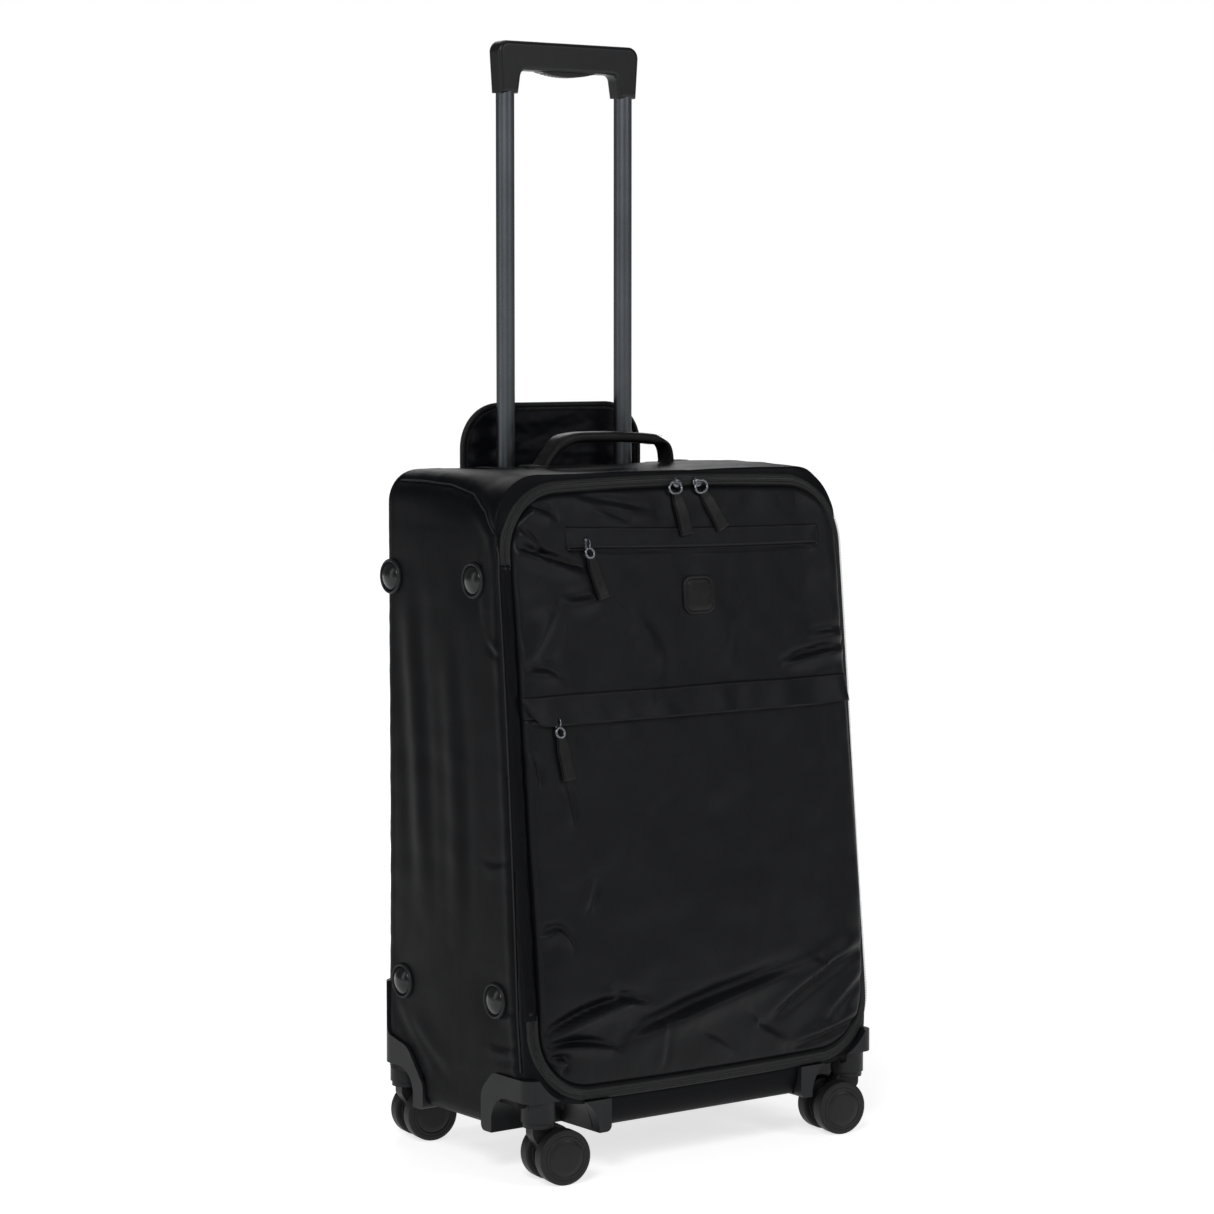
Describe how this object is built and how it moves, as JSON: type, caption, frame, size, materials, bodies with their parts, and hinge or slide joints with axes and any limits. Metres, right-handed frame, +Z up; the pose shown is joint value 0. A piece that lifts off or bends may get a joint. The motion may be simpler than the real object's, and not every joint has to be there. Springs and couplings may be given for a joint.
{
  "type": "softside upright suitcase",
  "caption": "Softside upright suitcase with a hinged zip lid, telescoping trolley handle, carry handles and swivelling twin-wheel casters.",
  "frame": {"origin": "on the floor, under the middle of the object's box", "axes": "+X to the right seen from the front, +Y towards the back, +Z up; the lid faces -Y"},
  "size_m": [0.426, 0.274, 1.062],
  "materials": {
    "shell_fabric": "woven nylon, satin",
    "lid_fabric": "woven nylon, satin",
    "zip": "coil zip and tape",
    "lining": "thin woven lining",
    "leather": "grained, semi-gloss",
    "moulded": "fine textured, matte",
    "stud": "glossy domes",
    "tube": "dark gunmetal anodised satin",
    "inner_metal": "plain",
    "zip_metal": "dark gunmetal plated",
    "tyre": "soft polyurethane, matte"
  },
  "bodies": {
    "case": {"front_rim": "shell_fabric", "back_panel": "shell_fabric", "side_panel_left": "shell_fabric", "side_panel_right": "shell_fabric", "top_panel": "shell_fabric", "bottom_panel": "shell_fabric", "case_zip_half": "zip", "back_lining": "lining", "corner_guard_front_left": "moulded", "corner_guard_front_right": "moulded", "corner_guard_back_left": "moulded", "corner_guard_back_right": "moulded", "side_feet": "stud", "handle_tabs": "leather", "handle_well": "moulded", "outer_tube_left": "tube", "outer_tube_right": "tube", "base_frame": "moulded", "caster_sockets": "moulded"},
    "top_handle": {"top_handle": "leather"},
    "side_handle": {"side_handle": "leather"},
    "cover_flap": {"handle_cover_flap": "lining"},
    "lid": {"lid_panel": "lid_fabric", "lid_lining": "lining", "lid_zip_half": "zip", "hinge_strip": "lid_fabric", "upper_pocket": "lid_fabric", "upper_pocket_welt": "zip", "lower_pocket": "lid_fabric", "badge": "leather"},
    "storm_flap": {"storm_flap": "lid_fabric"},
    "trolley": {"inner_tube_left": "tube", "inner_tube_right": "tube", "grip_front_shell": "moulded", "grip_back_shell": "moulded", "grip_rivets": "inner_metal", "button_spring": "inner_metal"},
    "release_button": {"release_button": "moulded"},
    "release_yoke": {"release_yoke": "inner_metal"},
    "lock_pins": {"lock_pins": "inner_metal"},
    "main_slider_left": {"main_slider_left": "zip_metal"},
    "main_pull_left": {"main_pull_left": "leather"},
    "main_slider_right": {"main_slider_right": "zip_metal"},
    "main_pull_right": {"main_pull_right": "leather"},
    "upper_pocket_slider": {"upper_pocket_slider": "zip_metal"},
    "upper_pocket_pull": {"upper_pocket_pull": "leather"},
    "lower_pocket_slider": {"lower_pocket_slider": "zip_metal"},
    "lower_pocket_pull": {"lower_pocket_pull": "leather"},
    "fork_front_left": {"caster_fork_front_left": "moulded"},
    "wheel_front_left_a": {"wheel_front_left_a": "tyre"},
    "wheel_front_left_b": {"wheel_front_left_b": "tyre"},
    "fork_front_right": {"caster_fork_front_right": "moulded"},
    "wheel_front_right_a": {"wheel_front_right_a": "tyre"},
    "wheel_front_right_b": {"wheel_front_right_b": "tyre"},
    "fork_back_left": {"caster_fork_back_left": "moulded"},
    "wheel_back_left_a": {"wheel_back_left_a": "tyre"},
    "wheel_back_left_b": {"wheel_back_left_b": "tyre"},
    "fork_back_right": {"caster_fork_back_right": "moulded"},
    "wheel_back_right_a": {"wheel_back_right_a": "tyre"},
    "wheel_back_right_b": {"wheel_back_right_b": "tyre"}
  },
  "joints": [
    {"name": "lid_open", "type": "hinge", "parent": "case", "child": "lid", "pos_m": [-0.202, -0.09874, 0.36059], "axis": [0, -0.0995, -0.995], "range_deg": [0, 165]},
    {"name": "top_handle_fold", "type": "hinge", "parent": "case", "child": "top_handle", "pos_m": [0, 0.038, 0.656], "axis": [1, 0, 0], "range_deg": [-60, 60], "stiffness_Nm_per_rad": 0.06},
    {"name": "side_handle_lift", "type": "hinge", "parent": "case", "child": "side_handle", "pos_m": [0.2105, 0, 0.35], "axis": [0, 0, 1], "range_deg": [-18, 18], "stiffness_Nm_per_rad": 0.03},
    {"name": "cover_flap_fold", "type": "hinge", "parent": "case", "child": "cover_flap", "pos_m": [0, 0.124, 0.634], "axis": [-1, 0, 0], "range_deg": [0, 120]},
    {"name": "storm_flap_lift", "type": "hinge", "parent": "lid", "child": "storm_flap", "pos_m": [0, -0.10361, 0.4455], "axis": [-1, 0, 0], "range_deg": [0, 80]},
    {"name": "main_slider_left_run", "type": "slide", "parent": "lid", "child": "main_slider_left", "axis": [1, 0, 0], "range_m": [-0.14, 0]},
    {"name": "main_slider_right_run", "type": "slide", "parent": "lid", "child": "main_slider_right", "axis": [1, 0, 0], "range_m": [0, 0.11]},
    {"name": "upper_pocket_slider_run", "type": "slide", "parent": "lid", "child": "upper_pocket_slider", "axis": [1, 0, 0], "range_m": [0, 0.255]},
    {"name": "lower_pocket_slider_run", "type": "slide", "parent": "lid", "child": "lower_pocket_slider", "axis": [1, 0, 0], "range_m": [0, 0.315]},
    {"name": "main_pull_left_lift", "type": "hinge", "parent": "main_slider_left", "child": "main_pull_left", "pos_m": [-0.002, -0.07463, 0.63385], "axis": [-1, 0, 0], "range_deg": [0, 85]},
    {"name": "main_pull_right_lift", "type": "hinge", "parent": "main_slider_right", "child": "main_pull_right", "pos_m": [0.034, -0.07463, 0.63385], "axis": [-1, 0, 0], "range_deg": [0, 85]},
    {"name": "upper_pocket_pull_lift", "type": "hinge", "parent": "upper_pocket_slider", "child": "upper_pocket_pull", "pos_m": [-0.109, -0.08029, 0.57723], "axis": [-1, 0, 0], "range_deg": [0, 85]},
    {"name": "lower_pocket_pull_lift", "type": "hinge", "parent": "lower_pocket_slider", "child": "lower_pocket_pull", "pos_m": [-0.156, -0.10337, 0.41573], "axis": [-1, 0, 0], "range_deg": [0, 85]},
    {"name": "trolley_slide", "type": "slide", "parent": "case", "child": "trolley", "axis": [0, 0, 1], "range_m": [-0.415, 0]},
    {"name": "button_press", "type": "slide", "parent": "trolley", "child": "release_button", "axis": [0, 0, 1], "range_m": [0, 0.004], "stiffness_N_per_m": 400, "springref_m": -0.002, "deforming": ["button_spring"]},
    {"name": "yoke_lift", "type": "slide", "parent": "trolley", "child": "release_yoke", "axis": [0, 0, 1], "range_m": [0, 0.004]},
    {"name": "pin_retract", "type": "slide", "parent": "trolley", "child": "lock_pins", "axis": [0, -1, 0], "range_m": [0, 0.003]},
    {"name": "swivel_front_left", "type": "hinge", "parent": "case", "child": "fork_front_left", "pos_m": [-0.186, -0.11, 0.065], "axis": [0, 0, 1], "continuous": true},
    {"name": "roll_front_left_a", "type": "hinge", "parent": "fork_front_left", "child": "wheel_front_left_a", "pos_m": [-0.16817, -0.11244, 0.026], "axis": [0.1357, 0.9907, 0], "continuous": true},
    {"name": "roll_front_left_b", "type": "hinge", "parent": "fork_front_left", "child": "wheel_front_left_b", "pos_m": [-0.16817, -0.11244, 0.026], "axis": [0.1357, 0.9907, 0], "continuous": true},
    {"name": "swivel_front_right", "type": "hinge", "parent": "case", "child": "fork_front_right", "pos_m": [0.186, -0.11, 0.065], "axis": [0, 0, 1], "continuous": true},
    {"name": "roll_front_right_a", "type": "hinge", "parent": "fork_front_right", "child": "wheel_front_right_a", "pos_m": [0.16817, -0.10756, 0.026], "axis": [-0.1357, -0.9907, 0], "continuous": true},
    {"name": "roll_front_right_b", "type": "hinge", "parent": "fork_front_right", "child": "wheel_front_right_b", "pos_m": [0.16817, -0.10756, 0.026], "axis": [-0.1357, -0.9907, 0], "continuous": true},
    {"name": "swivel_back_left", "type": "hinge", "parent": "case", "child": "fork_back_left", "pos_m": [-0.186, 0.11, 0.065], "axis": [0, 0, 1], "continuous": true},
    {"name": "roll_back_left_a", "type": "hinge", "parent": "fork_back_left", "child": "wheel_back_left_a", "pos_m": [-0.16817, 0.10756, 0.026], "axis": [0.1357, 0.9907, 0], "continuous": true},
    {"name": "roll_back_left_b", "type": "hinge", "parent": "fork_back_left", "child": "wheel_back_left_b", "pos_m": [-0.16817, 0.10756, 0.026], "axis": [0.1357, 0.9907, 0], "continuous": true},
    {"name": "swivel_back_right", "type": "hinge", "parent": "case", "child": "fork_back_right", "pos_m": [0.186, 0.11, 0.065], "axis": [0, 0, 1], "continuous": true},
    {"name": "roll_back_right_a", "type": "hinge", "parent": "fork_back_right", "child": "wheel_back_right_a", "pos_m": [0.16817, 0.11244, 0.026], "axis": [-0.1357, -0.9907, 0], "continuous": true},
    {"name": "roll_back_right_b", "type": "hinge", "parent": "fork_back_right", "child": "wheel_back_right_b", "pos_m": [0.16817, 0.11244, 0.026], "axis": [-0.1357, -0.9907, 0], "continuous": true}
  ],
  "couplings": [
    {"joint": "yoke_lift", "follows": "button_press", "ratio": 1},
    {"joint": "pin_retract", "follows": "button_press", "ratio": 0.75}
  ]
}
